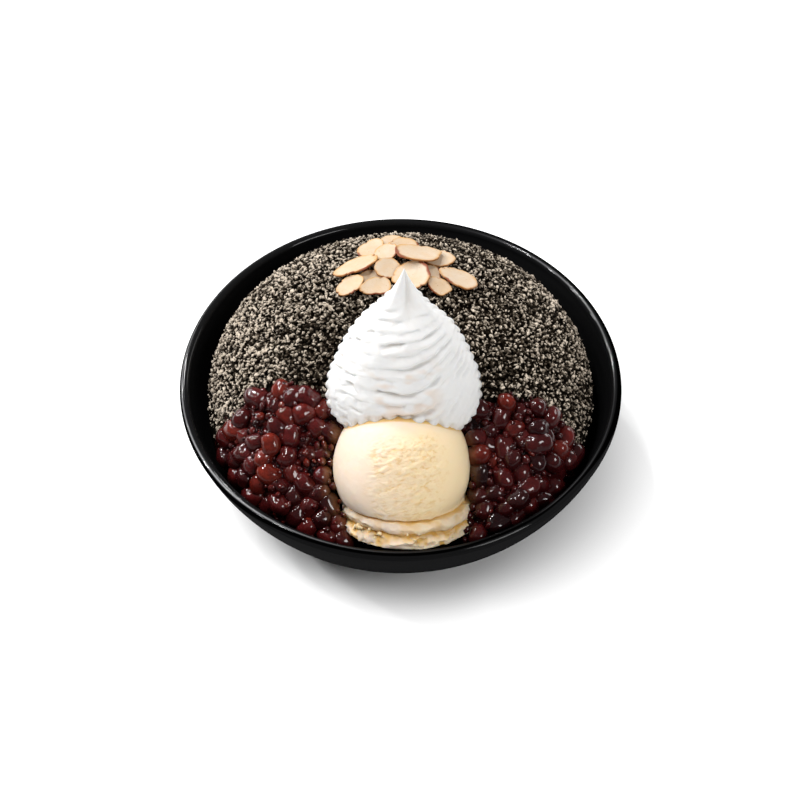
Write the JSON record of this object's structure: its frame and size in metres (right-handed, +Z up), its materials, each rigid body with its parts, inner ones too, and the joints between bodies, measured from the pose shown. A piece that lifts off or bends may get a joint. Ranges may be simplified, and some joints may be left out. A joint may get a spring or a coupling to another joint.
{
  "type": "bingsu dessert bowl",
  "caption": "Shaved-ice dessert in a round black bowl: sesame-coated mound with red bean heaps, an ice cream scoop, a whipped cream swirl and almond flakes.",
  "frame": {"origin": "on the table under the middle of the bowl's foot", "axes": "+Z up, the scoop of ice cream towards -Y, the left bean heap towards -X"},
  "size_m": [0.2, 0.2, 0.1404],
  "materials": {
    "bowl_glaze": "satin black glazed stoneware",
    "sesame_coat": "ground black sesame grains on shaved ice, grey-beige to near black",
    "ice_cream": "vanilla ice cream, soft sheen, pitted where it was scooped",
    "whipped_cream": "piped whipped cream, soft white",
    "red_bean": "syrupy sweet red beans, glossy maroon",
    "almond": "toasted almond slices, cream faces with golden edges"
  },
  "bodies": {
    "root": {"bowl": "bowl_glaze", "sesame_ice_mound": "sesame_coat", "ice_cream_scoop": "ice_cream", "whipped_cream": "whipped_cream", "red_beans_left": "red_bean", "red_beans_right": "red_bean", "almond_flake_01": "almond", "almond_flake_02": "almond", "almond_flake_03": "almond", "almond_flake_04": "almond", "almond_flake_05": "almond", "almond_flake_06": "almond", "almond_flake_07": "almond", "almond_flake_08": "almond", "almond_flake_09": "almond", "almond_flake_10": "almond", "almond_flake_11": "almond", "almond_flake_12": "almond", "almond_flake_13": "almond", "almond_flake_14": "almond", "almond_flake_15": "almond"}
  },
  "joints": []
}
